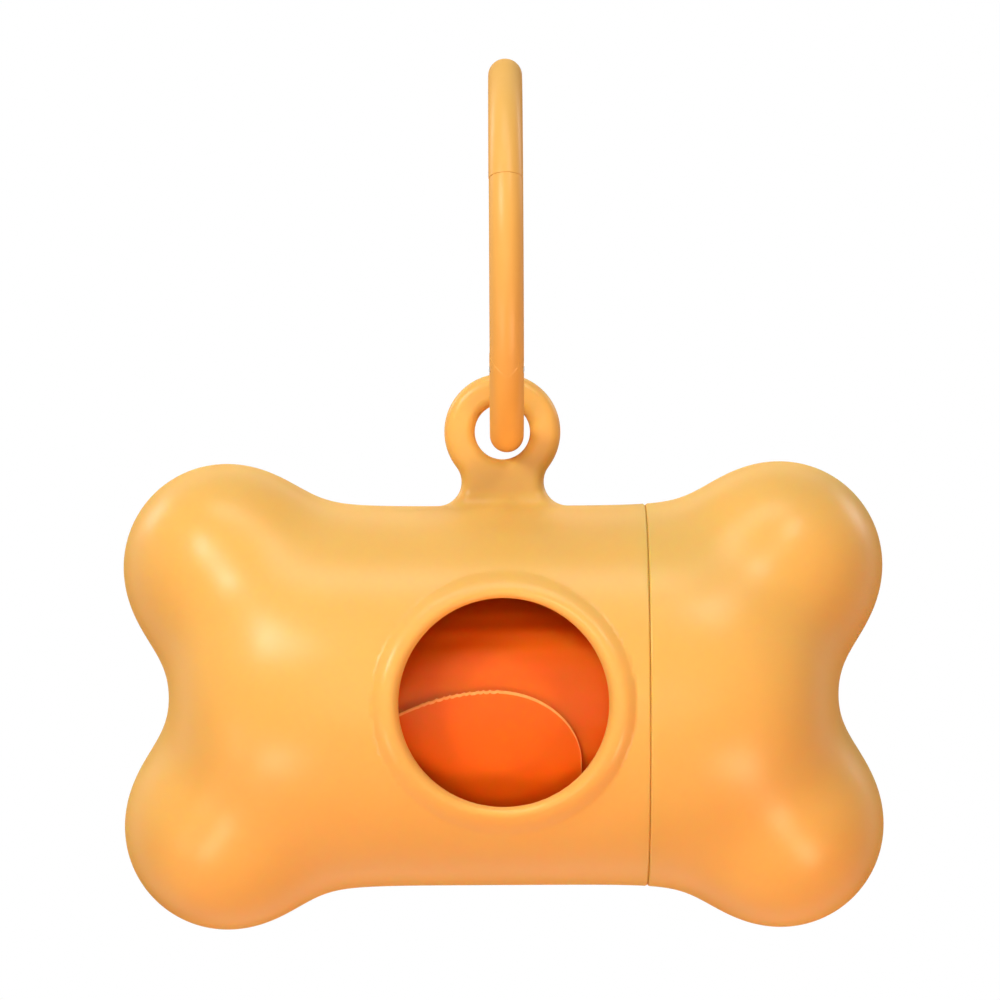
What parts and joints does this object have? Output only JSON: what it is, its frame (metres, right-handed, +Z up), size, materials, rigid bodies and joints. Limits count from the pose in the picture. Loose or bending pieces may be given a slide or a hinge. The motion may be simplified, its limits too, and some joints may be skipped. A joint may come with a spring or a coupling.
{
  "type": "dog waste bag dispenser",
  "caption": "Bone-shaped case with a pull-off end cap, a round dispensing window, a roll of bags inside and a spring-gate ring to hang it by.",
  "frame": {"origin": "the hang point: the top of the ring's inside, in the middle of its wire", "axes": "+Z up, +X along the bone towards the end cap, and the dispensing window faces -Y"},
  "size_m": [0.085, 0.044, 0.0974],
  "materials": {
    "moulded_plastic": "satin moulded",
    "coated_ring": "satin coating",
    "steel": "plain",
    "card": "grey-brown wound paperboard",
    "film": "thin glossy film"
  },
  "bodies": {
    "ring": {"ring_body": "coated_ring", "gate_pin": "steel", "gate_spring": "steel"},
    "gate": {"ring_gate": "coated_ring"},
    "case": {"case_body": "moulded_plastic"},
    "cap": {"end_cap": "moulded_plastic"},
    "roll": {"roll_core": "card", "bag_roll": "film", "first_bag_end": "film"}
  },
  "joints": [
    {"name": "gate_open", "type": "hinge", "parent": "ring", "child": "gate", "pos_m": [0, -0.01544, -0.0312], "axis": [-1, 0, 0], "range_deg": [0, 34], "stiffness_Nm_per_rad": 0.02, "springref_deg": -11.46},
    {"name": "case_swing", "type": "hinge", "parent": "ring", "child": "case", "pos_m": [-0.0005, 0, -0.038], "axis": [0, 1, 0], "range_deg": [-90, 90]},
    {"name": "cap_pull", "type": "slide", "parent": "case", "child": "cap", "axis": [1, 0, 0], "range_m": [0, 0.03]},
    {"name": "roll_spin", "type": "hinge", "parent": "case", "child": "roll", "pos_m": [-0.0005, 0, -0.0692], "axis": [1, 0, 0], "continuous": true}
  ]
}
